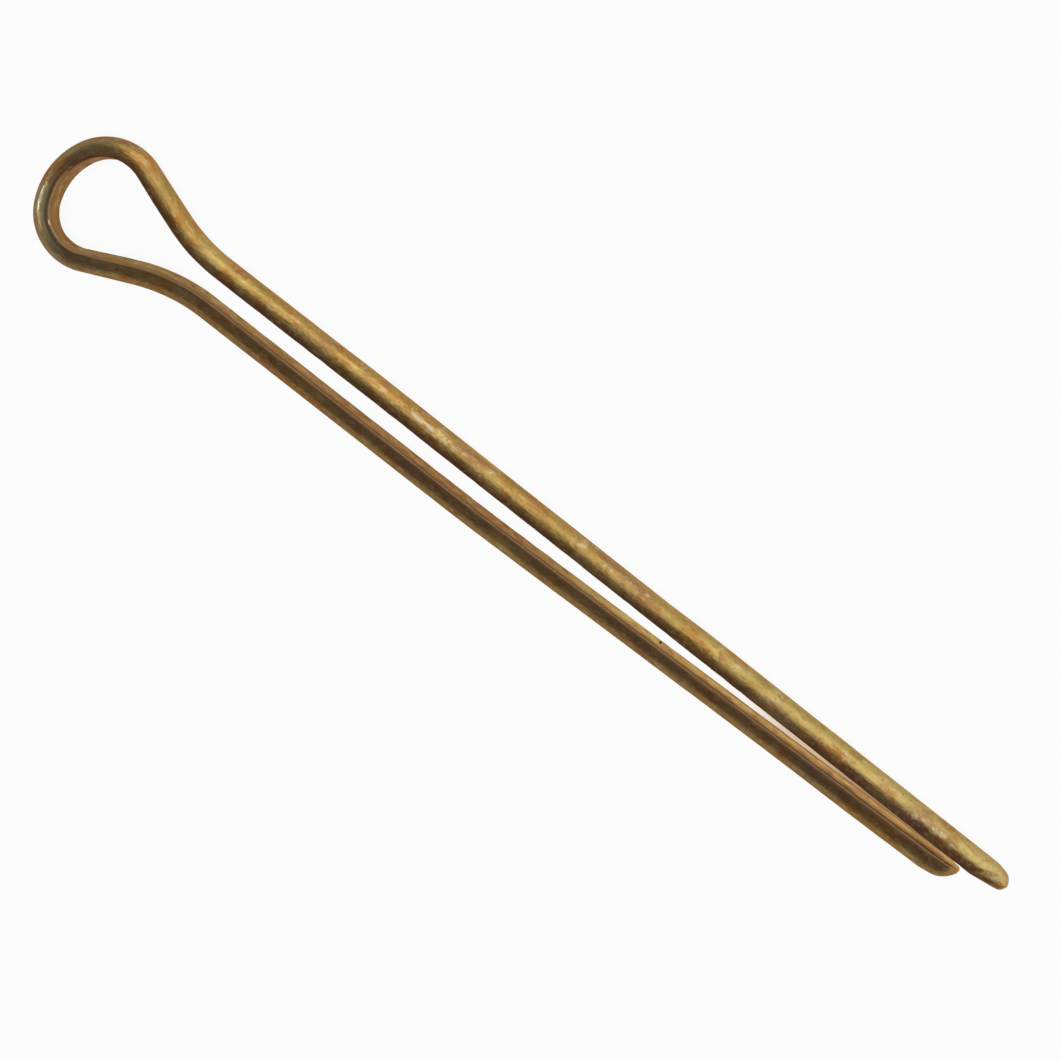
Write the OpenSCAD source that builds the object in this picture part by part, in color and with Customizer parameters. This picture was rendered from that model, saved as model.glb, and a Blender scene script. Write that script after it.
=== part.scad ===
// Cotter pin, 4 x 80: one length of half-round wire, folded at its middle into an
// eye, so that the flats of its two legs face each other. It lies on its side.
// X runs along the legs towards their ends and +Y towards the long leg. The origin is
// under the middle of the pin, on the surface that it lies on. Sizes in millimetres.

/* [Wire] */
// Width of the half-round wire across its flat, before its edges are rounded
wire_w = 3.7; // [3.7, 4.6, 5]
// Thickness of the wire, from its flat to its crown
wire_t = 1.8; // [1.8]
// Radius of the two edges where the crown meets the flat
edge_r = 0.25; // [0.25, 0.4]

/* [Legs] */
// Nominal length, from the neck under the eye to the end of the short leg
nominal_len = 80; // [65:1:120]
// How far the long leg reaches past the short one
long_leg_extra = 3.9; // [2:0.1:8]
// Gap between the two flats at the neck, where the legs leave the eye
neck_gap = 1.75; // [1.2:0.05:3]
// Gap between the two flats at the end of the short leg
tip_gap = 0.5; // [0.2:0.05:1]
// Distance from the neck to where the long leg leans in
long_leg_lean_at = 17; // [10:1:35]
// Distance from the neck to where the short leg leans in
short_leg_lean_at = 28; // [10:1:35]
// Angle at which the short leg splays out before it leans in
short_leg_splay = 0.3; // [0:0.1:1]
// Radius of the slight bend where each leg leans in
lean_bend_r = 300; // [100:10:500]

/* [Eye] */
// Inside radius of the eye at the long leg's side
eye_r_long_side = 3.3; // [2.5:0.1:4.5]
// Inside radius of the eye at its far end
eye_r_far_end = 5.15; // [4:0.05:7]
// Inside radius of the eye at the short leg's side
eye_r_short_side = 3.05; // [2.5:0.05:4.5]
// Angle that the wire turns through at the long leg's side
turn_angle_long_side = 82; // [60:1:95]
// Angle that the wire turns through at the short leg's side
turn_angle_short_side = 89; // [60:1:95]
// Angle between the long leg and the flank that joins it to the eye
flank_angle_long_side = 19.6; // [15:0.1:24]
// Angle between the short leg and the flank that joins it to the eye
flank_angle_short_side = 24.7; // [15:0.1:28]
// Radius on the flat where each flank bends into its leg
neck_r = 16; // [8:0.5:18]

/* [Leg ends] */
// Length that is tapered at the end of the long leg
long_nose_len = 3.4; // [2.8:0.1:4]
// Radius that rounds off the long leg's end
long_nose_r = 1.2; // [0.8:0.4:1.2]
// Taper of the long leg's end, from its axis
long_nose_taper = 22; // [18:1:24]
// Depth below the flat at which the axis of the long leg's end lies
long_nose_depth = 0.75; // [0.75:0.15:0.9]
// Length that is tapered at the end of the short leg
short_nose_len = 2.8; // [2.2:0.1:4]
// Radius that rounds off the short leg's end
short_nose_r = 2.4; // [1.8:0.1:3]
// Taper of the short leg's end, from the crown's axis
short_nose_taper = 5; // [2:0.5:10]

/* [Hidden] */
$fn = 96;
plated_gold = [0.70, 0.55, 0.27];

// The crown is an arc over the flat. Its centre lies just beyond the flat.
crown_r = (pow(wire_w / 2, 2) + pow(wire_t, 2)) / (2 * wire_t);
crown_centre = crown_r - wire_t;
// Centre of each edge's radius, which touches the flat and the crown
edge_z = sqrt(pow(crown_r - edge_r, 2) - pow(crown_centre + edge_r, 2));
half_width = edge_z + edge_r;

// Headings of the wire round the eye, as it comes from the long leg and goes to the
// short one. It runs along -X on the long leg, turns left and comes back along +X.
heading_in = 180 - flank_angle_long_side;
heading_far_start = heading_in + turn_angle_long_side;
heading_far_end = 360 + flank_angle_short_side - turn_angle_short_side;
heading_out = 360 + flank_angle_short_side;

function along(heading) = [cos(heading), sin(heading)];
function left_of(heading) = [-sin(heading), cos(heading)];
function cross2(a, b) = a.x * b.y - a.y * b.x;
// How far a left-hand bend carries the wire between two headings
function bend_reach(r, from, to) = r * (left_of(from) - left_of(to));

// Each flank runs from the corner at the neck, where its line meets its leg's line, to
// the start of the eye's bends. The two lengths are those that close the eye.
long_corner = [0, neck_gap / 2];
short_corner = [0, -neck_gap / 2];
eye_reach = bend_reach(eye_r_long_side, heading_in, heading_far_start)
          + bend_reach(eye_r_far_end, heading_far_start, heading_far_end)
          + bend_reach(eye_r_short_side, heading_far_end, heading_out);
flank_span = short_corner - long_corner - eye_reach;
flank_cross = cross2(along(heading_in), along(heading_out));
long_flank = cross2(flank_span, along(heading_out)) / flank_cross;
short_flank = cross2(along(heading_in), flank_span) / flank_cross;

// The neck's bends use up this much of each line on both sides of the corner
short_neck_turn = flank_angle_short_side + short_leg_splay;
long_neck_cut = neck_r * tan(flank_angle_long_side / 2);
short_neck_cut = neck_r * tan(short_neck_turn / 2);

// A leg runs straight, bends by its lean and runs straight on to its end. The lean is
// the angle that brings the end in by "drop" over a length of "run".
function lean_angle(run, drop) =
    2 * atan((run - sqrt(run * run - drop * (2 * lean_bend_r - drop)))
             / (2 * lean_bend_r - drop));
function lean_bend_run(lean) = lean_bend_r * sin(lean);
function last_run(run, lean) = (run - lean_bend_run(lean)) / cos(lean);

side_drop = (neck_gap - tip_gap) / 2;
long_run = nominal_len - long_leg_lean_at;
long_lean = lean_angle(long_run, side_drop);
long_last = last_run(long_run, long_lean) + long_leg_extra;
// The short leg's end, seen along its splayed first stretch
short_reach = nominal_len * cos(short_leg_splay) - side_drop * sin(short_leg_splay);
short_drop = nominal_len * sin(short_leg_splay) + side_drop * cos(short_leg_splay);
short_run = short_reach - short_leg_lean_at;
short_lean = lean_angle(short_run, short_drop);
short_last = last_run(short_run, short_lean);

// The wire's bends and straight runs after the long leg's last run, in order.
// A run is [length] and a bend is [radius on the flat, angle], positive to the left.
ROUTE = [
    [lean_bend_r, long_lean],
    [long_leg_lean_at - long_neck_cut],
    [neck_r, -flank_angle_long_side],
    [long_flank - long_neck_cut],
    [eye_r_long_side, turn_angle_long_side],
    [eye_r_far_end, heading_far_end - heading_far_start],
    [eye_r_short_side, turn_angle_short_side],
    [short_flank - short_neck_cut],
    [neck_r, -short_neck_turn],
    [short_leg_lean_at - short_neck_cut],
    [lean_bend_r, short_lean]
];

// The long leg's end, and the box round the pin in its own plane
long_end = [nominal_len, tip_gap / 2] + long_leg_extra * along(-long_lean);
bend_1_start = long_corner + long_flank * along(heading_in);
bend_1_centre = bend_1_start + eye_r_long_side * left_of(heading_in);
bend_2_centre = bend_1_centre
              + (eye_r_far_end - eye_r_long_side) * left_of(heading_far_start);
bend_3_centre = bend_2_centre
              + (eye_r_short_side - eye_r_far_end) * left_of(heading_far_end);
x_low = bend_2_centre.x - eye_r_far_end - wire_t;
x_high = long_end.x;
y_low = bend_3_centre.y - eye_r_short_side - wire_t;
y_high = bend_1_centre.y + eye_r_long_side + wire_t;

// How far cutting shapes reach past what they cut
past = 1;
// Where two stretches of the wire meet, one is this much fuller all round and the
// other reaches this far into it
fullness = 0.002;
lap = 0.02;
// How far the rounding of each leg's end runs past the end, which leaves a flat there
long_end_flat_depth = 0.04;
short_end_flat_depth = 0.25;

// The two ends are turned round axes along the wire. The long leg's axis lies inside the
// wire. The short leg's is the crown's own, which leaves its flat square at the end.
// An end is [depth of its axis below the flat, length, radius, taper, flat's depth].
LONG_NOSE = [long_nose_depth, long_nose_len, long_nose_r, long_nose_taper, long_end_flat_depth];
SHORT_NOSE = [-crown_centre, short_nose_len, short_nose_r, short_nose_taper, short_end_flat_depth];

// Section of the wire: the flat is at x = 0 and the crown is towards -x. The crown,
// the body and the two rounded edges meet along lines through the edges' centres.
module wire_section(fuller = 0) {
    // A point well outside the wire, on the line through the crown's and an edge's centre
    reach = wire_w / (crown_r - edge_r);
    out = [crown_centre - (crown_centre + edge_r) * reach, edge_z * reach];
    intersection() {
        translate([crown_centre, 0]) circle(r = crown_r + fuller);
        polygon([
            [-edge_r, edge_z], out, [-wire_w, out.y],
            [-wire_w, -out.y], [out.x, -out.y], [-edge_r, -edge_z]
        ]);
    }
    translate([-edge_r, -edge_z]) square([edge_r + fuller, 2 * edge_z]);
    for (side = [-1, 1]) intersection() {
        translate([-edge_r, side * edge_z]) circle(r = edge_r + fuller);
        polygon([
            [-edge_r, side * edge_z], [out.x, side * out.y],
            [edge_r, side * out.y], [edge_r, side * edge_z]
        ]);
    }
}

// A straight run from the origin along +X, with its flat to the left. It reaches past
// its two ends by "before" and "after".
module straight(length, before, after) {
    translate([-before, 0, 0]) rotate([90, 0, 90])
        linear_extrude(height = before + length + after) wire_section();
}

// A bend from the origin, at first along +X, to the left or to the right. It reaches
// past both of its ends by "more" degrees.
module bend(r, angle, more, fuller) {
    if (angle > 0)
        translate([0, r, 0])
            rotate_extrude(start = 270 - more, angle = angle + 2 * more)
            translate([r, 0]) mirror([1, 0]) wire_section(fuller);
    else
        translate([0, -r, 0])
            rotate_extrude(start = 90 + angle - more, angle = -angle + 2 * more)
            translate([r, 0]) wire_section(fuller);
}

// What is cut away to leave a tapered and rounded end. In its section x is the distance
// from the axis and y the distance from the end. The taper starts where the wire is
// widest, seen from the axis.
module nose_waste(nose) {
    depth = nose[0];
    length = nose[1];
    r = nose[2];
    taper = nose[3];
    flat_depth = nose[4];
    widest_r = norm([depth - edge_r, edge_z]) + edge_r;
    centre_y = r - flat_depth;
    touch_y = centre_y - r * sin(taper);
    touch_x = widest_r - (length - touch_y) * tan(taper);
    centre_x = touch_x - r * cos(taper);
    inner_x = max(centre_x, 0);
    outer_x = widest_r + past;
    translate([0, -depth, 0]) rotate([0, 90, 0]) rotate_extrude() difference() {
        polygon([
            [touch_x, touch_y], [outer_x, length + past / tan(taper)],
            [outer_x, -past], [inner_x, -past], [inner_x, centre_y]
        ]);
        translate([centre_x, centre_y]) circle(r = r);
    }
}

// The last run of a leg, with its end at the origin and the wire along +X
module leg_end(length, nose) {
    difference() {
        straight(length, 0, lap);
        nose_waste(nose);
    }
}

// The wire from one step of the route to the short leg's end. The even steps are the
// fuller ones, and the odd ones reach into them.
module follow(step) {
    if (step == len(ROUTE))
        translate([short_last, 0, 0]) mirror([1, 0, 0])
            leg_end(short_last, SHORT_NOSE);
    else if (len(ROUTE[step]) == 1) {
        length = ROUTE[step][0];
        straight(length, lap, lap);
        translate([length, 0, 0]) follow(step + 1);
    }
    else {
        r = ROUTE[step][0];
        angle = ROUTE[step][1];
        centre_y = angle > 0 ? r : -r;
        if (step % 2 == 0) bend(r, angle, 0, fullness);
        else bend(r, angle, atan(lap / r), 0);
        translate([0, centre_y, 0]) rotate([0, 0, angle]) translate([0, -centre_y, 0])
            follow(step + 1);
    }
}

module cotter_pin() {
    box_middle = [(x_low + x_high) / 2, (y_low + y_high) / 2];
    color(plated_gold)
        translate([long_end.x - box_middle.x, long_end.y - box_middle.y, half_width + fullness])
        rotate([0, 0, 180 - long_lean]) {
            leg_end(long_last, LONG_NOSE);
            translate([long_last, 0, 0]) follow(0);
        }
}

cotter_pin();
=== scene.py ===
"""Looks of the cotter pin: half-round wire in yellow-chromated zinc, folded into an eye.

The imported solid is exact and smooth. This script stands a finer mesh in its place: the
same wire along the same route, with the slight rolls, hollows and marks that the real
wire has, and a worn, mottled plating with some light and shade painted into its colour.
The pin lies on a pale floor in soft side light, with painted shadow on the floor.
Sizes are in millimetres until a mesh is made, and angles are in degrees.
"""

import math
from collections import namedtuple

import bpy
import numpy as np
from mathutils import Matrix, Vector, noise


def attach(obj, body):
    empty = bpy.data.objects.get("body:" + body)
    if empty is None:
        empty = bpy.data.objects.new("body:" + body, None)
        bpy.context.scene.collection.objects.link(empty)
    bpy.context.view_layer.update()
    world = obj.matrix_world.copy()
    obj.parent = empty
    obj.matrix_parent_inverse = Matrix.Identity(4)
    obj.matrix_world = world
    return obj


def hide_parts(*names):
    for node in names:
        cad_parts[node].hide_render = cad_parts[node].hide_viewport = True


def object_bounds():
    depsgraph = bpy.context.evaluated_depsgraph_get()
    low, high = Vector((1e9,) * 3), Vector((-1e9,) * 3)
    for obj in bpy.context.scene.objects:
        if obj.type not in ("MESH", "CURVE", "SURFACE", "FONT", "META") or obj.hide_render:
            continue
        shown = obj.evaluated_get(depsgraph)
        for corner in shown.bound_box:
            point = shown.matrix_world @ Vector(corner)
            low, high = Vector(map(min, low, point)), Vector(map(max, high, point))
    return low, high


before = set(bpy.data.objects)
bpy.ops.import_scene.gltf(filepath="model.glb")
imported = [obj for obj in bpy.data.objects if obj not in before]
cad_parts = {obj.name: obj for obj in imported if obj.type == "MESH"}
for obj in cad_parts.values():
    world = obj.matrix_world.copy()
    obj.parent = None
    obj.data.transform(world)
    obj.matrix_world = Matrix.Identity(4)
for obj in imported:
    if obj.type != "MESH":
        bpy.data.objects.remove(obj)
cad_low, cad_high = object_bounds()

MM = 0.001
NODE = "cotter_pin"
BODY = "root"

# ---- The wire's section. Its edges are crisper than the solid's, but the upper one is worn
# ---- rounder from the eye on along the short leg. Each width is that of the section with
# ---- sharp edges. Rounded off, both come out about as wide as the solid.
WIRE_T = 1.8  # from the flat to the crown
Profile = namedtuple("Profile", "width edge_r")
CRISP = Profile(width=3.66, edge_r=0.12)
WORN = Profile(width=3.762, edge_r=0.34)
WORN_FROM = (93.0, 99.0)  # where along the wire the one gives way to the other

# ---- The route, as in the solid. It starts at the long leg's end. ----
NOMINAL_LEN = 80.0
LONG_LEG_EXTRA = 3.9
NECK_GAP = 1.75
TIP_GAP = 0.5
LONG_LEAN_AT = 17.0
SHORT_LEAN_AT = 28.0
SHORT_SPLAY = 0.3
LEAN_R = 300.0
EYE_R_LONG_SIDE = 3.3
EYE_R_FAR_END = 5.15
EYE_R_SHORT_SIDE = 3.05
TURN_LONG_SIDE = 82.0
TURN_SHORT_SIDE = 89.0
FLANK_LONG_SIDE = 19.6
FLANK_SHORT_SIDE = 24.7
NECK_R = 16.0

# ---- The legs' ends, each turned round an axis along the wire ----
# An end is tapered over a length from its widest, and rounded off by a radius that runs
# past the end by the flat's depth. Its axis lies at a depth below the wire's flat, or
# beyond the flat where that is negative.
Nose = namedtuple("Nose", "depth length rounding taper flat_depth")
LONG_NOSE = Nose(depth=0.75, length=3.4, rounding=1.2, taper=22.0, flat_depth=0.04)
SHORT_NOSE = Nose(depth=-0.04, length=2.8, rounding=2.4, taper=5.0, flat_depth=0.25)
NOSE_BLEND = 0.35  # how softly an end's surface runs into the wire's, at its softest
NOSE_BLEND_LEAST = 0.01  # and at its hardest, as a share of that
NOSE_BLEND_RUN = 1.5  # it softens over this length, from where the end's taper begins
NOSE_LEAST_R = 0.02  # keeps the end's rings from closing to a point

# ---- Mesh density ----
RING_STEP = 0.25
NOSE_RINGS = 26
FLAT_POINTS = 18
EDGE_POINTS = 6
CROWN_POINTS = 54

# ---- How the real wire departs from the exact one ----
HOLLOW_DEPTH = 0.022  # shallow hollows all over, pressed inwards only
HOLLOW_SIZE = 2.2
HOLLOW_STRETCH = 1.8  # how much longer they are along the wire
RIPPLE_DEPTH = 0.020  # long ripples left by straightening
RIPPLE_SIZE = 6.0
EDGE_WEAR = 0.07  # how much deeper the flat's edges are worn in places
EDGE_WEAR_SIZE = 1.3
EDGE_REACH = 0.45  # how far round an edge that goes
MIDDLE_SHARE = 0.4  # of the thickness: how deep the middle lies, which hollows press towards

UNBENT = "unbent"  # each point's place on the straight wire, for the material


def along(heading):
    """The unit vector at this heading, in the pin's plane."""
    return np.array([math.cos(math.radians(heading)), math.sin(math.radians(heading))])


def left_of(heading):
    return along(heading + 90)


def cross(a, b):
    return a[0] * b[1] - a[1] * b[0]


# ======================= The route =======================

Stretch = namedtuple("Stretch", "name length turn")


def bend(name, radius, turn):
    """A stretch of wire bent by "turn", to the left where it is positive."""
    return Stretch(name, radius * math.radians(abs(turn)), turn)


def straight(name, length):
    return Stretch(name, length, 0.0)


def lean_angle(run, drop):
    """The bend at LEAN_R that brings a leg's end in by "drop" over a length of "run"."""
    reach = 2 * LEAN_R - drop
    return 2 * math.degrees(math.atan((run - math.sqrt(run ** 2 - drop * reach)) / reach))


def last_run(run, lean):
    """What is left of "run" after its lean, along the leg."""
    return (run - LEAN_R * math.sin(math.radians(lean))) / math.cos(math.radians(lean))


def flank_lengths(heading_in, heading_1, heading_2, heading_out):
    """The two flanks' lengths that close the eye between the corners at the neck."""
    eye_reach = (
        EYE_R_LONG_SIDE * (left_of(heading_in) - left_of(heading_1))
        + EYE_R_FAR_END * (left_of(heading_1) - left_of(heading_2))
        + EYE_R_SHORT_SIDE * (left_of(heading_2) - left_of(heading_out))
    )
    span = np.array([0, -NECK_GAP]) - eye_reach
    both = cross(along(heading_in), along(heading_out))
    long_flank = cross(span, along(heading_out)) / both
    short_flank = cross(along(heading_in), span) / both
    return long_flank, short_flank


def wire_route():
    """The wire's start, its heading there and its stretches, in the neck's own frame.

    There X = 0 is at the neck's corners, and Y = 0 is midway between the legs."""
    heading_in = 180 - FLANK_LONG_SIDE
    heading_1 = heading_in + TURN_LONG_SIDE
    heading_out = 360 + FLANK_SHORT_SIDE
    heading_2 = heading_out - TURN_SHORT_SIDE
    long_flank, short_flank = flank_lengths(heading_in, heading_1, heading_2, heading_out)

    short_turn = FLANK_SHORT_SIDE + SHORT_SPLAY
    long_cut = NECK_R * math.tan(math.radians(FLANK_LONG_SIDE / 2))
    short_cut = NECK_R * math.tan(math.radians(short_turn / 2))

    drop = (NECK_GAP - TIP_GAP) / 2
    long_run = NOMINAL_LEN - LONG_LEAN_AT
    long_lean = lean_angle(long_run, drop)
    splay = math.radians(SHORT_SPLAY)
    short_run = NOMINAL_LEN * math.cos(splay) - drop * math.sin(splay) - SHORT_LEAN_AT
    short_drop = NOMINAL_LEN * math.sin(splay) + drop * math.cos(splay)
    short_lean = lean_angle(short_run, short_drop)

    start = np.array([NOMINAL_LEN, TIP_GAP / 2]) + LONG_LEG_EXTRA * along(-long_lean)
    stretches = [
        straight("long_leg", last_run(long_run, long_lean) + LONG_LEG_EXTRA),
        bend("long_lean", LEAN_R, long_lean),
        straight("long_top", LONG_LEAN_AT - long_cut),
        bend("long_neck", NECK_R, -FLANK_LONG_SIDE),
        straight("long_flank", long_flank - long_cut),
        bend("long_side", EYE_R_LONG_SIDE, TURN_LONG_SIDE),
        bend("far_end", EYE_R_FAR_END, heading_2 - heading_1),
        bend("short_side", EYE_R_SHORT_SIDE, TURN_SHORT_SIDE),
        straight("short_flank", short_flank - short_cut),
        bend("short_neck", NECK_R, -short_turn),
        straight("short_top", SHORT_LEAN_AT - short_cut),
        bend("short_lean", LEAN_R, short_lean),
        straight("short_leg", last_run(short_run, short_lean)),
    ]
    return start, 180 - long_lean, stretches


START, START_HEADING, STRETCHES = wire_route()
ENDS = np.cumsum([s.length for s in STRETCHES])
WIRE_LEN = ENDS[-1]


def place_on(name, share):
    """How far along the wire a share of the named stretch ends."""
    index = [s.name for s in STRETCHES].index(name)
    return ENDS[index] - (1 - share) * STRETCHES[index].length


def trace(distances):
    """Where the flat's middle runs at these distances, and its headings."""
    points = np.empty((len(distances), 2))
    headings = np.empty(len(distances))
    point, heading, begin = START, START_HEADING, 0.0
    for stretch, end in zip(STRETCHES, ENDS):
        inside = (distances >= begin) & (distances <= end)
        part = (distances[inside] - begin) / stretch.length
        for index, share in zip(np.flatnonzero(inside), part):
            points[index] = point + chord(stretch, heading, share)
            headings[index] = heading + share * stretch.turn
        point = point + chord(stretch, heading, 1.0)
        heading += stretch.turn
        begin = end
    return points, headings


def chord(stretch, heading, share):
    """From a stretch's start to a share of it. An arc's chord leaves at half its turn."""
    turn = share * stretch.turn
    shortening = np.sinc(math.radians(turn) / 2 / math.pi)
    return share * stretch.length * shortening * along(heading + turn / 2)


# ======================= The section =======================

Circle = namedtuple("Circle", "radius centre edge_up")


def crown_circle(profile):
    """The crown's circle, how far its centre lies beyond the flat, and how high the
    edge's centre lies."""
    radius = ((profile.width / 2) ** 2 + WIRE_T ** 2) / (2 * WIRE_T)
    centre = radius - WIRE_T
    edge_up = math.sqrt((radius - profile.edge_r) ** 2 - (centre + profile.edge_r) ** 2)
    return Circle(radius, centre, edge_up)


def half_section(profile):
    """Points round the upper half of a section as (across, up), up to the crown's middle.
    The flat is at across = 0."""
    circle = crown_circle(profile)
    edge_r = profile.edge_r
    edge_turn = math.atan2(circle.edge_up, -(circle.centre + edge_r))
    half_flat = np.linspace(0, circle.edge_up, FLAT_POINTS // 2 + 1)[:-1]
    edge = np.linspace(0, edge_turn, EDGE_POINTS + 1)[:-1]
    half_crown = np.linspace(edge_turn, math.pi, CROWN_POINTS // 2 + 1)[:-1]
    across = np.concatenate([
        np.zeros_like(half_flat),
        edge_r * np.cos(edge) - edge_r,
        circle.centre + circle.radius * np.cos(half_crown),
    ])
    up = np.concatenate([
        half_flat,
        circle.edge_up + edge_r * np.sin(edge),
        circle.radius * np.sin(half_crown),
    ])
    return np.stack([across, up], -1)


def whole_section(upper, lower):
    """The section's points, from the flat's middle over the upper edge and the crown."""
    crown_middle = [[-WIRE_T, 0]]
    return np.concatenate([upper, crown_middle, lower[:0:-1] * [1, -1]])


CRISP_HALF = half_section(CRISP)
CRISP_SECTION = whole_section(CRISP_HALF, CRISP_HALF)
WORN_SECTION = whole_section(half_section(WORN), CRISP_HALF)
WIDEST = crown_circle(CRISP)


def nose_radius(distance, nose):
    """How far an end's surface lies from its own axis, at this distance from the end."""
    taper = math.radians(nose.taper)
    widest = math.hypot(nose.depth - CRISP.edge_r, WIDEST.edge_up) + CRISP.edge_r
    centre = nose.rounding - nose.flat_depth
    touch = centre - nose.rounding * math.sin(taper)
    if distance >= touch:
        return widest - (nose.length - distance) * math.tan(taper)
    touch_radius = widest - (nose.length - touch) * math.tan(taper)
    bulge = math.sqrt(nose.rounding ** 2 - (distance - centre) ** 2)
    return touch_radius - nose.rounding * math.cos(taper) + bulge


def drawn_in(section, distance, nose):
    """The section with what would stick out of a leg's end drawn in towards its axis."""
    axis = np.array([-nose.depth, 0])
    away = section - axis
    reach = np.linalg.norm(away, axis=1)
    limit = nose_radius(distance, nose)
    blend = NOSE_BLEND * np.clip(
        (nose.length - distance) / NOSE_BLEND_RUN, NOSE_BLEND_LEAST, 1
    )
    closeness = np.maximum(blend - np.abs(reach - limit), 0) / blend
    short_of_both = closeness ** 2 * blend / 4
    drawn = np.maximum(np.minimum(reach, limit) - short_of_both, NOSE_LEAST_R)
    return axis + away * (np.minimum(drawn, reach) / reach)[:, None]


def section_at(distance):
    """The section's points, tapered where they are near a leg's end."""
    worn = np.interp(distance, WORN_FROM, (0.0, 1.0))
    section = CRISP_SECTION + worn * (WORN_SECTION - CRISP_SECTION)
    if distance < LONG_NOSE.length:
        section = drawn_in(section, distance, LONG_NOSE)
    if WIRE_LEN - distance < SHORT_NOSE.length:
        section = drawn_in(section, WIRE_LEN - distance, SHORT_NOSE)
    return np.column_stack([np.minimum(section[:, 0], 0), section[:, 1]])


# ======================= Departures from the exact wire =======================

# How far the wire is rolled about its own length, at places along it
ROLLS = [
    (place_on("long_top", 0.0), -1.3),
    (place_on("long_flank", 0.5), 1.4),
    (place_on("long_side", 0.5), 5.8),
    (place_on("far_end", 0.5), 5.8),
    (place_on("short_side", 0.5), -0.5),
    (place_on("short_flank", 0.5), 3.4),
    (place_on("short_neck", 1.0), 1.3),
]
# How thick the wire is, as a share of its thickness. It swells towards its cut ends.
THICKNESS = [
    (place_on("long_leg", 0.05), 1.05),
    (place_on("long_leg", 0.50), 1.045),
    (place_on("long_leg", 0.56), 0.995),
    (place_on("far_end", 0.5), 1.0),
    (place_on("short_side", 0.5), 0.96),
    (place_on("short_flank", 1.0), 0.99),
    (place_on("short_leg", 0.2), 0.975),
    (place_on("short_leg", 0.55), 0.98),
    (place_on("short_leg", 0.85), 1.05),
    (place_on("short_leg", 1.0), 1.06),
]

# Small marks, each a dent: (distance along the wire, across, up), its half sizes along
# the wire and round it, and its depth
Mark = namedtuple("Mark", "place along round depth")
SCRATCH_FROM_NECK = 49.45
SCRATCH_AT = WIRE_LEN - (NOMINAL_LEN - SCRATCH_FROM_NECK)
MARKS = [
    Mark(place=(SCRATCH_AT, 0.0, -0.9), along=0.13, round=0.9, depth=0.10),
]


def keyed(distances, keys):
    places, values = zip(*keys)
    return np.interp(distances, places, values)


def raised(wave):
    """Noise between -1 and 1, brought to between 0 and 1."""
    return 0.5 + 0.5 * wave


def hollows(point):
    """How deep the surface lies under the exact one at a place on the straight wire."""
    distance, across, up = point
    fine = noise.noise(Vector((distance / HOLLOW_STRETCH, across, up)) / HOLLOW_SIZE)
    broad = noise.noise(Vector((distance, across, up)) / RIPPLE_SIZE)
    depth = HOLLOW_DEPTH * raised(fine) + RIPPLE_DEPTH * raised(broad)
    from_edge = math.hypot(across, WIDEST.edge_up - abs(up)) / EDGE_REACH
    if from_edge < 1:
        wear = noise.noise(Vector((distance, 0, math.copysign(WIRE_T, up))) / EDGE_WEAR_SIZE)
        depth += EDGE_WEAR * max(0.0, wear) * (1 - from_edge)
    return depth


def mark_depth(point, mark):
    offset = np.abs(point - np.array(mark.place))
    spread = (offset[0] / mark.along) ** 2 + (math.hypot(offset[1], offset[2]) / mark.round) ** 2
    return mark.depth * max(0.0, 1 - spread) ** 2


# ======================= The mesh =======================

def ring_distances():
    """Distances of the mesh's rings, closer together towards both ends."""
    steps = np.linspace(0, 1, NOSE_RINGS + 1)[:-1] ** 2
    long_end = steps * LONG_NOSE.length
    short_end = WIRE_LEN - steps[::-1] * SHORT_NOSE.length
    middle_len = WIRE_LEN - LONG_NOSE.length - SHORT_NOSE.length
    count = math.ceil(middle_len / RING_STEP)
    middle = LONG_NOSE.length + np.linspace(0, middle_len, count + 1)
    return np.concatenate([long_end, middle, short_end])


def ring(distance, half_width):
    """One ring on the straight wire, as (distance, across, up) points, and as pressed."""
    section = section_at(distance)
    straight_points = np.column_stack([np.full(len(section), distance), section])
    inward = np.array([-WIRE_T * MIDDLE_SHARE, 0]) - section
    inward /= np.linalg.norm(inward, axis=1)[:, None]
    near_marks = [m for m in MARKS if abs(distance - m.place[0]) < m.along]
    depth = np.array([
        hollows(p) + sum(mark_depth(p, m) for m in near_marks) for p in straight_points
    ])
    pressed = section + inward * depth[:, None]
    pressed[:, 0] *= keyed(distance, THICKNESS)
    roll = math.radians(keyed(distance, ROLLS))
    turn = np.array([[math.cos(roll), math.sin(roll)], [-math.sin(roll), math.cos(roll)]])
    rolled = pressed @ turn
    rolled[:, 1] += max(0.0, -half_width - rolled[:, 1].min())
    return straight_points, rolled


def pin_arrays():
    """The pin's points in the part's frame, and the same points on the straight wire."""
    half_width = (cad_high.z - cad_low.z) / 2 / MM
    distances = ring_distances()
    centres, headings = trace(distances)
    placed, unbent = [], []
    for distance, centre, heading in zip(distances, centres, headings):
        straight_points, section = ring(distance, half_width)
        in_plane = centre + section[:, :1] * left_of(heading)
        placed.append(np.column_stack([in_plane, section[:, 1]]))
        unbent.append(straight_points)
    placed = np.array(placed) + neck_place(half_width)
    placed[..., 0] += cad_high.x / MM - placed[..., 0].max()
    return placed, np.array(unbent)


def neck_place(half_width):
    """Where the neck's own frame lies in the part's, from the solid's box. The place
    along X is left to the mesh's own reach."""
    bend_start, headings = trace(np.array([place_on("long_side", 0.0)]))
    bend_centre = bend_start[0] + EYE_R_LONG_SIDE * left_of(headings[0])
    y_high = bend_centre[1] + EYE_R_LONG_SIDE + WIRE_T
    return np.array([0.0, cad_high.y / MM - y_high, half_width])


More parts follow.
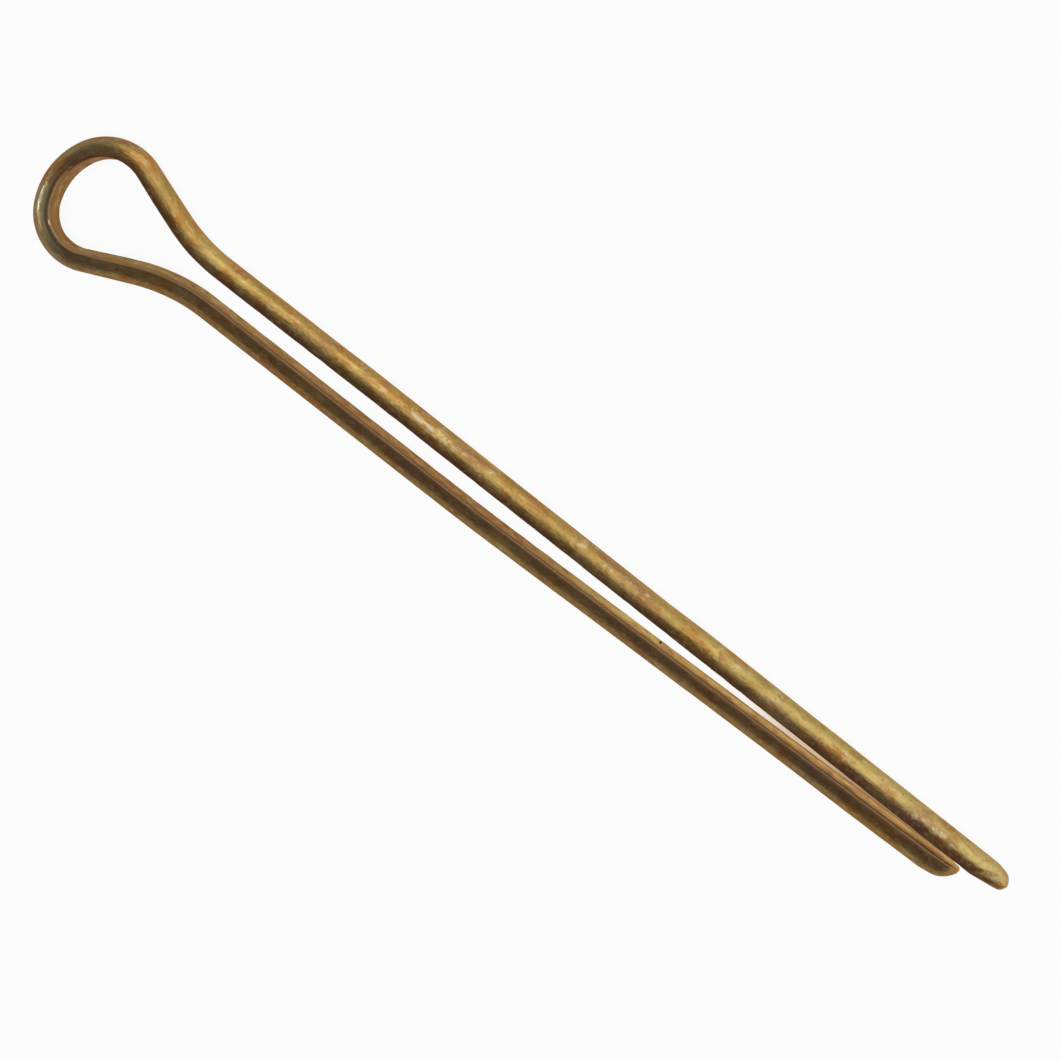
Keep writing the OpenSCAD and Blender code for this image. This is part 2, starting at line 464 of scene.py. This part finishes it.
def tube_faces(rings, around):
    """Quads between the rings, and a fan over each end."""
    index = np.arange(rings * around).reshape(rings, around)
    after = np.roll(index, -1, axis=1)
    quads = np.stack([index[:-1], after[:-1], after[1:], index[1:]], -1).reshape(-1, 4)
    first_middle = rings * around
    last_middle = first_middle + 1
    first_fan = [(after[0, k], index[0, k], first_middle) for k in range(around)]
    last_fan = [(index[-1, k], after[-1, k], last_middle) for k in range(around)]
    return [tuple(q) for q in quads.tolist()] + first_fan + last_fan


def make_pin():
    placed, unbent = pin_arrays()
    rings, around = placed.shape[:2]
    middles = [placed[0].mean(0), placed[-1].mean(0)]
    unbent_middles = [unbent[0].mean(0), unbent[-1].mean(0)]
    points = np.concatenate([placed.reshape(-1, 3), middles]) * MM
    mesh = bpy.data.meshes.new("pin_wire")
    mesh.from_pydata(points.tolist(), [], tube_faces(rings, around))
    mesh.validate()
    mesh.polygons.foreach_set("use_smooth", [True] * len(mesh.polygons))
    unbent_points = np.concatenate([unbent.reshape(-1, 3), unbent_middles])
    attribute = mesh.attributes.new(UNBENT, "FLOAT_VECTOR", "POINT")
    attribute.data.foreach_set("vector", unbent_points.astype(np.float32).ravel())
    pin = bpy.data.objects.new("pin_wire", mesh)
    bpy.context.scene.collection.objects.link(pin)
    return pin


# ======================= The plating =======================

# The Mix node's sockets by number, since those for numbers and for colours share names
NUMBER_A, NUMBER_B, NUMBER_OUT = 2, 3, 0
COLOUR_A, COLOUR_B, COLOUR_OUT = 6, 7, 2


class Nodes:
    """Adds shader nodes to a tree, each in one line."""

    def __init__(self, tree):
        self.tree = tree
        tree.nodes.clear()

    def add(self, kind, inputs=None, **settings):
        node = self.tree.nodes.new(kind)
        for name, value in settings.items():
            setattr(node, name, value)
        for name, value in (inputs or {}).items():
            self.set(node.inputs[name], value)
        return node

    def set(self, socket, value):
        if isinstance(value, bpy.types.NodeSocket):
            self.tree.links.new(value, socket)
        else:
            socket.default_value = value

    def math(self, operation, a, b=0.0):
        node = self.add("ShaderNodeMath", operation=operation)
        self.set(node.inputs[0], a)
        self.set(node.inputs[1], b)
        return node.outputs[0]

    def mix(self, factor, a, b):
        """A colour between a and b."""
        node = self.add("ShaderNodeMix", {"Factor": factor}, data_type="RGBA")
        self.set(node.inputs[COLOUR_A], a)
        self.set(node.inputs[COLOUR_B], b)
        return node.outputs[COLOUR_OUT]

    def blend(self, factor, a, b):
        """A number between a and b."""
        node = self.add("ShaderNodeMix", {"Factor": factor})
        self.set(node.inputs[NUMBER_A], a)
        self.set(node.inputs[NUMBER_B], b)
        return node.outputs[NUMBER_OUT]

    def ramp(self, value, low, high, out_low=0.0, out_high=1.0):
        """A smooth step from out_low at low to out_high at high."""
        node = self.add(
            "ShaderNodeMapRange",
            {"Value": value, "From Min": low, "From Max": high,
             "To Min": out_low, "To Max": out_high},
            interpolation_type="SMOOTHSTEP",
        )
        return node.outputs[0]

    def scaled(self, place, size, stretch=1.0, shift=0.0):
        """A place in units of size, longer by "stretch" along the wire."""
        mapping = self.add("ShaderNodeMapping", {"Vector": place})
        mapping.inputs["Scale"].default_value = (1 / size / stretch, 1 / size, 1 / size)
        mapping.inputs["Location"].default_value = (shift, shift, shift)
        return mapping.outputs[0]

    def noise(self, place, size, stretch=1.0, detail=2.0, shift=0.0):
        """Noise with features of this size in mm, longer by "stretch" along the wire."""
        scaled = self.scaled(place, size, stretch, shift)
        node = self.add("ShaderNodeTexNoise", {"Vector": scaled, "Scale": 1.0, "Detail": detail})
        return node.outputs[0]

    def keyed_colour(self, value, keys, span, unit=1.0):
        """The colour that runs between keyed values, out of a span that starts at 0."""
        node = self.add("ShaderNodeValToRGB", {"Fac": self.math("DIVIDE", value, span * unit)})
        elements = node.color_ramp.elements
        elements.remove(elements[-1])
        for index, (at, colour) in enumerate(keys):
            element = elements[0] if index == 0 else elements.new(at / span)
            element.position = at / span
            element.color = colour
        return node.outputs[0]


# The film's colours. PALE is in the specks, and BRIGHT and DARK are in the flat's patches.
STRAW = (0.61, 0.45, 0.145, 1)
ORANGE = (0.50, 0.235, 0.055, 1)
COPPER = (0.42, 0.16, 0.075, 1)
OLIVE = (0.37, 0.32, 0.095, 1)
VIOLET = (0.33, 0.165, 0.13, 1)
UMBER = (0.36, 0.165, 0.075, 1)
PALE = (0.72, 0.60, 0.34, 1)
BRIGHT = (0.95, 0.80, 0.34, 1)
DARK = (0.16, 0.06, 0.03, 1)
EDGE_TINT = (0.98, 0.69, 0.50, 1)  # what the film leaves of a glancing reflection

# The film's ground along the wire, from the long leg's end to the short leg's: on the
# crown, and on the flat
CROWN_GROUND = [
    (0.0, (0.62, 0.500, 0.180, 1)),
    (26.0, (0.57, 0.425, 0.135, 1)),
    (42.0, (0.50, 0.325, 0.095, 1)),
    (70.0, (0.49, 0.300, 0.085, 1)),
    (90.0, (0.49, 0.300, 0.085, 1)),
    (94.0, (0.45, 0.305, 0.125, 1)),
    (98.0, (0.40, 0.330, 0.195, 1)),
    (104.0, (0.39, 0.330, 0.180, 1)),
    (110.0, (0.44, 0.275, 0.105, 1)),
    (150.0, (0.45, 0.280, 0.100, 1)),
    (175.0, (0.45, 0.300, 0.115, 1)),
]
# The flat's ground is the film's tone, and partly painted reflection where it grows brighter and
# yellower along the short leg
FLAT_GROUND = [
    (0.0, (0.50, 0.345, 0.115, 1)),
    (92.0, (0.42, 0.165, 0.110, 1)),
    (103.0, (0.62, 0.490, 0.130, 1)),
    (120.0, (0.62, 0.480, 0.130, 1)),
    (134.0, (0.59, 0.350, 0.080, 1)),
    (148.0, (0.57, 0.320, 0.070, 1)),
    (157.0, (0.76, 0.660, 0.180, 1)),
    (172.0, (0.78, 0.680, 0.160, 1)),
    (178.0, (0.88, 0.720, 0.180, 1)),
]
FLAT_BEGINS = (-0.20, -0.04)  # across, where the crown's ground gives way to the flat's
FLAT_WANDER = 0.6  # how far that place wanders
FLAT_WANDER_SIZE = 0.9
FLAT_WANDER_STRETCH = 1.5

# Painted shade: the crown is browner towards the flat on the long leg and round the eye's start
BROWN_SHADE_SHARE = 0.85
BROWN_SHADE_ACROSS = (-0.62, -0.22)
BROWN_SHADE_ENDS = (88.0, 97.0)
BROWN_SHADE_WIDER = 0.38  # how much further it reaches at the long leg's end
BROWN_SHADE_WIDENS = (18.0, 34.0)

# A patchwork on that ground. Each colour comes in where its noise rises from "start" to
# "full", up to its share. Sizes are in mm, and patches are longer along the wire.
Patches = namedtuple("Patches", "colour size stretch detail start full share")
PATCHWORK = [
    Patches(STRAW, size=1.9, stretch=2.2, detail=3, start=0.50, full=0.66, share=0.75),
    Patches(ORANGE, size=1.5, stretch=1.8, detail=3, start=0.51, full=0.66, share=0.80),
    Patches(COPPER, size=0.9, stretch=1.5, detail=3, start=0.57, full=0.70, share=0.70),
    Patches(OLIVE, size=1.4, stretch=2.8, detail=3, start=0.55, full=0.70, share=0.65),
    Patches(VIOLET, size=2.6, stretch=3.0, detail=3, start=0.52, full=0.70, share=0.60),
    Patches(UMBER, size=0.34, stretch=1.5, detail=2, start=0.52, full=0.74, share=0.60),
    Patches(STRAW, size=0.26, stretch=1.8, detail=2, start=0.52, full=0.70, share=0.80),
]
FLAT_PATCHWORK = [
    Patches(ORANGE, size=1.5, stretch=1.6, detail=3, start=0.42, full=0.72, share=0.70),
    Patches(VIOLET, size=1.0, stretch=1.5, detail=3, start=0.50, full=0.78, share=0.40),
    Patches(BRIGHT, size=0.62, stretch=1.5, detail=3, start=0.46, full=0.76, share=0.65),
    Patches(DARK, size=0.50, stretch=1.5, detail=3, start=0.47, full=0.78, share=0.65),
]

# Each noise is shifted by its own number of SHIFTs, so that they run apart. The patchworks,
# the rubbed places with their painted glints, and the relief take one number more for each of
# their parts.
SHIFT = 12.7
CROWN_PATCH_NOISES = 1
FLAT_PATCH_NOISES = 12
EDGE_SHADE_NOISE = 18
WANDER_NOISE = 19
UNEVEN_NOISE = 20
CLUSTER_NOISE = 21
RUB_GLINT_NOISES = 22
GLOSS_NOISE = 25  # one rubbed place, whose pale colour paints a glint, has this number too, at another size
RELIEF_NOISES = 30
NOISE_MIDDLE = 0.5

# Specks rubbed through to paler metal, one at most in each cell. They come in clusters,
# closer on the long leg's end
SPECK_CELL = 0.55
SPECK_STRETCH = 1.7
SPECK_CHANCE = (0.40, 1.05)  # the chances between which a cell's speck grows
SPECK_REACH = 0.62  # the largest speck's reach, in cells
SPECK_SOFTNESS = 0.35
SPECK_SHARE = 0.66
SPECK_ACROSS = (-0.75, -0.45)  # where they grow fainter towards the flat
SPECK_NEAR_FLAT = 0.3  # what is left of them there
SPECK_WANES = (55.0, 85.0)  # where along the wire they grow fainter
SPECK_WANED = 0.45  # and what is left of them there
CLUSTER_SIZE = 1.6
CLUSTER_EASE = 1.6  # how much a cluster raises the chance
END_EASE = 0.12  # how much the long leg's end does
END_EASE_RUN = 40.0

# Marks in the film: places rubbed bright, whose pale colours round the eye also paint its
# highlight and glints, and a scratch. Each has its middle and half sizes on the straight wire, its
# colour and roughness, and how coarsely it is broken up.
RubAndGlint = namedtuple("RubAndGlint", "middle half colour roughness size")
RUBS_AND_GLINTS = [
    RubAndGlint((60.7, -1.15, 1.42), (2.3, 0.30, 0.5), (0.58, 0.50, 0.34, 1), 0.34, 0.50),
    # Rubbed bright at the eye's outer end; its pale green-white paints the end lamp's highlight
    # there
    RubAndGlint((100.6, -1.07, 1.46), (1.8, 0.20, 0.3), (0.85, 0.88, 0.72, 1), 0.14, 1.00),
    # Rubbed on the eye's inner edge; their pale colours paint glints there
    RubAndGlint((97.3, -0.20, 1.66), (1.1, 0.20, 0.3), (0.95, 0.85, 0.65, 1), 0.18, 0.60),
    RubAndGlint((102.1, -0.18, 1.62), (0.9, 0.20, 0.3), (0.75, 0.50, 0.36, 1), 0.28, 0.60),
    RubAndGlint((SCRATCH_AT, 0.0, -0.9), (0.15, 0.3, 0.9), (0.05, 0.035, 0.02, 1), 0.60, 1.50),
]

# A noise breaks each of them up. It is raised at the place's middle and lowered at its
# rim, and the mark is laid where the sum is high.
RUB_GLINT_RIM = (0.3, 1.1)  # from where to where it falls, in half sizes
RUB_GLINT_EASE = (0.16, -0.3)  # from what to what
RUB_GLINT_STRETCH = 1.6
RUB_GLINT_BREAKS = (0.5, 0.64)  # the sums between which the rubbed place comes in

# The film's roughness, and its relief for the shader, in mm. Along the short leg the upper edge
# is dull, and painted shade darkens it.
MATT = 0.42
GLOSSY = 0.28
GLOSS_SIZE = 0.8
GLOSS_STRETCH = 1.6
GLOSS_BREAKS = (0.35, 0.65)  # the noise's values between which GLOSSY gives way to MATT
DULL_EDGE = 0.68
EDGE_SHADE = (0.24, 0.155, 0.080, 1)  # painted shade, on the edge's side towards the crown
EDGE_SHADE_LIGHT = (0.66, 0.460, 0.240, 1)  # and its lighter end, towards the flat
EDGE_SHADE_LIGHTENS = (-0.17, -0.08)
EDGE_SHADE_SHARE = (0.60, 0.95)  # from place to place
EDGE_SHADE_SIZE = 0.9
EDGE_SHADE_STRETCH = 1.8
EDGE_SHADE_BREAKS = (0.38, 0.62)  # the noise's values between which the share rises
EDGE_ACROSS = (-0.48, -0.22)
EDGE_HEIGHT = (1.25, 1.5)
EDGE_DULL_FROM = (97.0, 101.0)
RELIEF = 0.055
# Each part's size, its stretch along the wire and its share of the relief
RELIEF_PARTS = [(0.55, 1.5, 0.20), (0.22, 1.5, 0.38), (0.12, 30.0, 0.18)]

# The flat has painted shade along its top, and painted shadow browns its lower part towards the
# short leg's end
HIGH_SHADE_SHARE = 0.85
HIGH_SHADE_HEIGHT = (0.2, 1.5)
LOW_SHADE = (0.26, 0.10, 0.035, 1)
LOW_HEIGHT = (-1.6, -0.6)
LOW_FROM = (160.0, 174.0)

FLAT_SQUEEZE = 0.4  # heights on the flat count as this share, so its patterns are taller


def specks(n, place, distance, across):
    """Where the film is rubbed through."""
    uneven = n.noise(place, SPECK_CELL / 2, detail=1.0, shift=SHIFT * UNEVEN_NOISE)
    cell_place = n.add("ShaderNodeVectorMath", {0: place, 1: uneven}, operation="ADD").outputs[0]
    cell_place = n.scaled(cell_place, SPECK_CELL, SPECK_STRETCH)
    cell = n.add("ShaderNodeTexVoronoi", {"Vector": cell_place, "Scale": 1.0}).outputs
    chance = n.add("ShaderNodeSeparateColor", {"Color": cell["Color"]}).outputs["Red"]
    cluster = n.noise(place, CLUSTER_SIZE, SPECK_STRETCH, shift=SHIFT * CLUSTER_NOISE)
    ease = n.math("MULTIPLY", n.math("SUBTRACT", cluster, NOISE_MIDDLE), CLUSTER_EASE)
    ease = n.math("ADD", ease, n.ramp(distance, 0.0, END_EASE_RUN, END_EASE, 0.0))
    reach = n.ramp(n.math("ADD", chance, ease), *SPECK_CHANCE, 0.0, SPECK_REACH)
    inside = n.math("SUBTRACT", reach, cell["Distance"])
    there = n.ramp(inside, 0.0, SPECK_SOFTNESS, 0.0, SPECK_SHARE)
    there = n.math("MULTIPLY", there, n.ramp(across, *SPECK_ACROSS, 1.0, SPECK_NEAR_FLAT))
    return n.math("MULTIPLY", there, n.ramp(distance, *SPECK_WANES, 1.0, SPECK_WANED))


def rub_and_glint(n, place, rub_glint, index):
    """How much of a rubbed place, painted glint or the scratch is here, broken up by its own
    noise.
    """
    offset = n.add("ShaderNodeVectorMath", {0: place, 1: rub_glint.middle}, operation="SUBTRACT")
    share = n.add("ShaderNodeVectorMath", {0: offset.outputs[0], 1: rub_glint.half}, operation="DIVIDE")
    far = n.add("ShaderNodeVectorMath", {0: share.outputs[0]}, operation="LENGTH").outputs["Value"]
    near = n.ramp(far, *RUB_GLINT_RIM, *RUB_GLINT_EASE)
    broken = n.noise(place, rub_glint.size, RUB_GLINT_STRETCH, shift=SHIFT * (index + RUB_GLINT_NOISES))
    return n.ramp(n.math("ADD", broken, near), *RUB_GLINT_BREAKS)


def dull_shaded_edge(n, distance, across, up):
    """How much of the short leg's dull edge, which painted shade also darkens, is here."""
    edge = n.math("MULTIPLY", n.ramp(across, *EDGE_ACROSS), n.ramp(up, *EDGE_HEIGHT))
    return n.math("MULTIPLY", edge, n.ramp(distance, *EDGE_DULL_FROM))


def patched(n, colour, place, patchwork, first):
    """A patchwork on this colour. Its noises are numbered from "first"."""
    for index, p in enumerate(patchwork):
        pattern = n.noise(place, p.size, p.stretch, p.detail, SHIFT * (index + first))
        colour = n.mix(n.ramp(pattern, p.start, p.full, 0.0, p.share), colour, p.colour)
    return colour


def crown_colour(n, place, distance, across):
    ground = n.keyed_colour(distance, CROWN_GROUND, WIRE_LEN)
    # Painted shade, browner towards the flat
    nearer = n.math("ADD", across, n.ramp(distance, *BROWN_SHADE_WIDENS, BROWN_SHADE_WIDER, 0.0))
    brown_shade = n.ramp(nearer, *BROWN_SHADE_ACROSS, 0.0, BROWN_SHADE_SHARE)
    brown_shade = n.math("MULTIPLY", brown_shade, n.ramp(distance, *BROWN_SHADE_ENDS, 1.0, 0.0))
    ground = n.mix(brown_shade, ground, UMBER)
    colour = patched(n, ground, place, PATCHWORK, first=CROWN_PATCH_NOISES)
    return n.mix(specks(n, place, distance, across), colour, PALE)


def flat_colour(n, distance, across, up):
    ground = n.keyed_colour(distance, FLAT_GROUND, WIRE_LEN)
    coarser = n.math("MULTIPLY", up, FLAT_SQUEEZE)
    place = n.add("ShaderNodeCombineXYZ", {0: distance, 1: across, 2: coarser}).outputs[0]
    colour = patched(n, ground, place, FLAT_PATCHWORK, first=FLAT_PATCH_NOISES)
    # Painted shade: darker towards the flat's top
    colour = n.mix(n.ramp(up, *HIGH_SHADE_HEIGHT, 0.0, HIGH_SHADE_SHARE), colour, UMBER)
    # Painted shadow: browner low on the flat towards the short leg's end, where the legs close in
    low = n.math("MULTIPLY", n.ramp(up, *LOW_HEIGHT, 1.0, 0.0), n.ramp(distance, *LOW_FROM))
    return n.mix(low, colour, LOW_SHADE)


def film_colour(n, place):
    distance, across, up = n.add("ShaderNodeSeparateXYZ", {"Vector": place}).outputs
    wander = n.noise(place, FLAT_WANDER_SIZE, FLAT_WANDER_STRETCH, shift=SHIFT * WANDER_NOISE)
    wander = n.math("MULTIPLY", n.math("SUBTRACT", wander, NOISE_MIDDLE), FLAT_WANDER)
    on_flat = n.ramp(n.math("ADD", across, wander), *FLAT_BEGINS)
    crown = crown_colour(n, place, distance, across)
    colour = n.mix(on_flat, crown, flat_colour(n, distance, across, up))
    # Painted shade over the short leg's upper edge, dark towards the crown and lighter towards the
    # flat
    edge_shade = n.mix(n.ramp(across, *EDGE_SHADE_LIGHTENS), EDGE_SHADE, EDGE_SHADE_LIGHT)
    broken = n.noise(place, EDGE_SHADE_SIZE, EDGE_SHADE_STRETCH, shift=SHIFT * EDGE_SHADE_NOISE)
    share = n.ramp(broken, *EDGE_SHADE_BREAKS, *EDGE_SHADE_SHARE)
    share = n.math("MULTIPLY", share, dull_shaded_edge(n, distance, across, up))
    colour = n.mix(share, colour, edge_shade)
    for index, rub_glint in enumerate(RUBS_AND_GLINTS):
        colour = n.mix(rub_and_glint(n, place, rub_glint, index), colour, rub_glint.colour)
    return colour


def film_roughness(n, place):
    axes = n.add("ShaderNodeSeparateXYZ", {"Vector": place})
    gloss = n.noise(place, GLOSS_SIZE, GLOSS_STRETCH, shift=SHIFT * GLOSS_NOISE)
    roughness = n.ramp(gloss, *GLOSS_BREAKS, GLOSSY, MATT)
    roughness = n.blend(dull_shaded_edge(n, *axes.outputs), roughness, DULL_EDGE)
    for index, rub_glint in enumerate(RUBS_AND_GLINTS):
        roughness = n.blend(rub_and_glint(n, place, rub_glint, index), roughness, rub_glint.roughness)
    return roughness


def film_relief(n, place):
    height = 0.0
    for index, (size, stretch, share) in enumerate(RELIEF_PARTS):
        part = n.noise(place, size, stretch, shift=SHIFT * (index + RELIEF_NOISES))
        height = n.math("ADD", n.math("MULTIPLY", part, share), height)
    bump = n.add("ShaderNodeBump", {"Strength": 1.0, "Distance": RELIEF * MM, "Height": height})
    return bump.outputs[0]


def make_plating():
    material = bpy.data.materials.new("yellow_chromate")
    material.use_nodes = True
    n = Nodes(material.node_tree)
    place = n.add("ShaderNodeAttribute", attribute_name=UNBENT).outputs["Vector"]
    shader = n.add("ShaderNodeBsdfPrincipled", {
        "Base Color": film_colour(n, place), "Metallic": 1.0,
        "Roughness": film_roughness(n, place), "Normal": film_relief(n, place),
        "Specular Tint": EDGE_TINT,
    })
    n.add("ShaderNodeOutputMaterial", {"Surface": shader.outputs[0]})
    return material


# ======================= Floor, light and camera =======================

FLOOR_SIDES = (-5.0, 15.0)  # where they lie along X and along Y, in metres
FLOOR_COLOUR = (0.85, 0.85, 0.85, 1)
FLOOR_WHITE = 0.965  # share of plain white that the camera sees in the floor
PLAIN_WHITE = (1, 1, 1, 1)
# Painted light and shadow in the floor as the metal sees it: brighter on the +Y side where the
# side light falls, darker in the pin's own shadow on the other side and beyond the eye, and
# brighter between the legs
FLOOR_WHITE_IN_METAL = (0.33, 0.60)  # the shares that the metal shows, low and high along Y
FLOOR_BRIGHTENS = (-3.0, 2.0)  # from where to where along Y it rises, in mm
FLOOR_DARK_END = (-47.5, -43.0)  # along X it rises only from here on, so not beyond the eye
GAP_BRIGHTENS = (3.0, 11.0)  # where along X the gap brightens in the metal
GAP_BRIGHTER = 1.35
ROOM = (0.140, 0.125, 0.150, 1)

# Painted shadow at the wire's outer foot, in the floor as the metal sees it
FOOT_SHARE = 0.45  # what is left of the white in the metal at the wire's outer foot

# Painted contact shadow: the floor is a little greyer near the metal, by how open it lies within a
# short reach
OPEN_REACH = 1.2  # mm
OPEN_SAMPLES = 4
OPENNESS = (0.30, 0.85)
GREY_AT_FOOT = (0.955, 0.95, 0.94, 1)

GAP_MIDDLE = 0.436  # where Y is midway between the legs, in mm

# Where the legs come close, painted shade and warm bounced light tint the floor between them,
# keyed along X
BETWEEN_LEGS = (0.55, 0.95)  # half the width of that stretch, where it begins to fade and ends
GAP_SHADE_FROM = 10.0  # mm from the part's origin
GAP_SHADE = [
    (8.0, (1.0, 1.0, 1.0, 1)),
    (12.8, (0.98, 0.93, 0.88, 1)),
    (16.8, (0.74, 0.59, 0.46, 1)),
    (20.8, (0.66, 0.46, 0.30, 1)),
    (25.0, (0.42, 0.24, 0.12, 1)),
    (32.0, (0.40, 0.22, 0.11, 1)),
    (33.5, (1.0, 1.0, 1.0, 1)),
]
GAP_SHADE_LEN = 35.0


def metres(lengths):
    """Lengths given in millimetres, as the scene takes them."""
    return [length * MM for length in lengths]


def floor_openness(n):
    """How open the floor lies."""
    reach = {"Distance": OPEN_REACH * MM}
    open_here = n.add("ShaderNodeAmbientOcclusion", reach, samples=OPEN_SAMPLES)
    return n.ramp(open_here.outputs["AO"], *OPENNESS)


def beside_gap(n, axes):
    """0 between the legs, and 1 outside them."""
    aside = n.math("SUBTRACT", axes["Y"], GAP_MIDDLE * MM)
    return n.ramp(n.math("ABSOLUTE", aside), *metres(BETWEEN_LEGS))


def floor_painted_shade(n, axes, openness):
    """The white that the camera sees in the floor, with painted shadow near the metal and painted
    shade and warm bounced light between the legs.
    """
    near_metal = n.mix(openness, GREY_AT_FOOT, PLAIN_WHITE)
    reach = n.math("SUBTRACT", axes["X"], GAP_SHADE_FROM * MM)
    tint = n.keyed_colour(reach, GAP_SHADE, GAP_SHADE_LEN, MM)
    return n.mix(beside_gap(n, axes), tint, near_metal)


def white_in_metal(n, axes, openness):
    """How much of the floor is plain white to the rays that the metal reflects, with painted light
    on the +Y side and between the legs, and painted shadow on the other side and at the wire's
    foot.
    """
    low, high = FLOOR_WHITE_IN_METAL
    nearer = n.ramp(axes["Y"], *metres(FLOOR_BRIGHTENS), 0.0, high - low)
    inner = n.ramp(axes["X"], *metres(FLOOR_DARK_END))
    outside = n.math("ADD", low, n.math("MULTIPLY", nearer, inner))
    gap = n.ramp(axes["X"], *metres(GAP_BRIGHTENS), 1.0, GAP_BRIGHTER)
    foot = n.blend(openness, FOOT_SHARE, 1.0)
    return n.math("MULTIPLY", outside, n.blend(beside_gap(n, axes), gap, foot))


def white_share(n, axes, openness):
    """How much of the floor is plain white, for the rays that meet it."""
    rays = n.add("ShaderNodeLightPath").outputs
    reflected = n.math("MAXIMUM", rays["Is Glossy Ray"], rays["Is Transmission Ray"])
    share = n.math("MULTIPLY", rays["Is Camera Ray"], FLOOR_WHITE)
    return n.math("ADD", share, n.math("MULTIPLY", reflected, white_in_metal(n, axes, openness)))


def make_floor():
    near, far = FLOOR_SIDES
    mesh = bpy.data.meshes.new("floor")
    corners = [(near, near, 0), (far, near, 0), (far, far, 0), (near, far, 0)]
    mesh.from_pydata(corners, [], [(0, 1, 2, 3)])
    floor = bpy.data.objects.new("floor", mesh)
    bpy.context.scene.collection.objects.link(floor)
    material = bpy.data.materials.new("pale_floor")
    material.use_nodes = True
    n = Nodes(material.node_tree)
    paper = n.add("ShaderNodeBsdfDiffuse", {"Color": FLOOR_COLOUR})
    place = n.add("ShaderNodeNewGeometry").outputs["Position"]
    axes = n.add("ShaderNodeSeparateXYZ", {"Vector": place}).outputs
    openness = floor_openness(n)
    seen = n.add("ShaderNodeLightPath").outputs["Is Camera Ray"]
    tint = n.mix(seen, PLAIN_WHITE, floor_painted_shade(n, axes, openness))
    white = n.add("ShaderNodeEmission", {"Color": tint, "Strength": 1.0})
    mixed = n.add("ShaderNodeMixShader", {"Fac": white_share(n, axes, openness)})
    n.set(mixed.inputs[1], paper.outputs[0])
    n.set(mixed.inputs[2], white.outputs[0])
    n.add("ShaderNodeOutputMaterial", {"Surface": mixed.outputs[0]})
    mesh.materials.append(material)


def make_world():
    world = bpy.data.worlds.new("room")
    bpy.context.scene.world = world
    world.use_nodes = True
    n = Nodes(world.node_tree)
    rays = n.add("ShaderNodeLightPath")
    colour = n.mix(rays.outputs["Is Camera Ray"], ROOM, PLAIN_WHITE)
    background = n.add("ShaderNodeBackground", {"Color": colour, "Strength": 1.0})
    n.add("ShaderNodeOutputWorld", {"Surface": background.outputs[0]})


def direction(azimuth, elevation):
    """The unit vector towards this azimuth, anticlockwise from +X, and elevation."""
    flat = along(azimuth) * math.cos(math.radians(elevation))
    return Vector((flat[0], flat[1], math.sin(math.radians(elevation))))


# Rectangular soft lights that look at the pin: where they stand, their sides in metres,
# and how bright their faces are
Lamp = namedtuple("Lamp", "name azimuth elevation width height radiance colour")
LAMP_DISTANCE = 0.5
LAMPS = [
    Lamp("side_light", 70, 22, 0.84, 0.42, 1.0, (1.0, 0.985, 0.95)),
    Lamp("low_light", 110, 7, 0.34, 0.11, 1.0, (1.0, 0.985, 0.95)),
    Lamp("tip_light", 0, 20, 0.36, 0.36, 0.9, (1.0, 0.97, 0.9)),
    Lamp("end_light", 211, 2.8, 0.30, 0.04, 4.5, (0.92, 1.0, 0.90)),
    Lamp("end_fill", 218, 28, 0.5, 0.36, 0.24, (0.95, 1.0, 0.9)),
]


def make_lamp(lamp):
    data = bpy.data.lights.new(lamp.name, "AREA")
    data.shape = "RECTANGLE"
    data.size = lamp.width
    data.size_y = lamp.height
    data.color = lamp.colour
    data.energy = lamp.radiance * math.pi * lamp.width * lamp.height
    towards = direction(lamp.azimuth, lamp.elevation)
    light = bpy.data.objects.new(lamp.name, data)
    light.location = towards * LAMP_DISTANCE
    light.rotation_euler = towards.to_track_quat("Z", "Y").to_euler()
    bpy.context.scene.collection.objects.link(light)


# The camera: its direction from the pin, its turn about that direction, what it looks at
# in the part's frame, how far it stands and how many millimetres one pixel covers there
IMAGE_SIDE = 1061  # pixels
SENSOR = 36.0
CLIP_START = 0.001  # metres
CAMERA_DIRECTION = (-0.0070, 0.1644, 1.0)
CAMERA_TURN = 38.174
CAMERA_AIM = (0.3094, 0.5499, 1.8226)
CAMERA_DISTANCE = 337.5
PIXEL = 0.08139


def make_camera():
    data = bpy.data.cameras.new("camera")
    data.sensor_width = SENSOR
    data.lens = SENSOR * CAMERA_DISTANCE / (PIXEL * IMAGE_SIDE)
    data.clip_start = CLIP_START
    camera = bpy.data.objects.new("camera", data)
    back = Vector(CAMERA_DIRECTION).normalized()
    right = Vector((*along(CAMERA_TURN), 0))
    right = (right - right.dot(back) * back).normalized()
    up = back.cross(right)
    turned = Matrix((right, up, back)).transposed().to_4x4()
    place = (Vector(CAMERA_AIM) + CAMERA_DISTANCE * back) * MM
    camera.matrix_world = Matrix.Translation(place) @ turned
    bpy.context.scene.collection.objects.link(camera)
    bpy.context.scene.camera = camera


make_camera()
make_floor()
make_world()
for lamp in LAMPS:
    make_lamp(lamp)

pin = make_pin()
pin.data.materials.append(make_plating())
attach(pin, BODY)
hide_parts(NODE)

bpy.context.scene.view_settings.view_transform = "Standard"
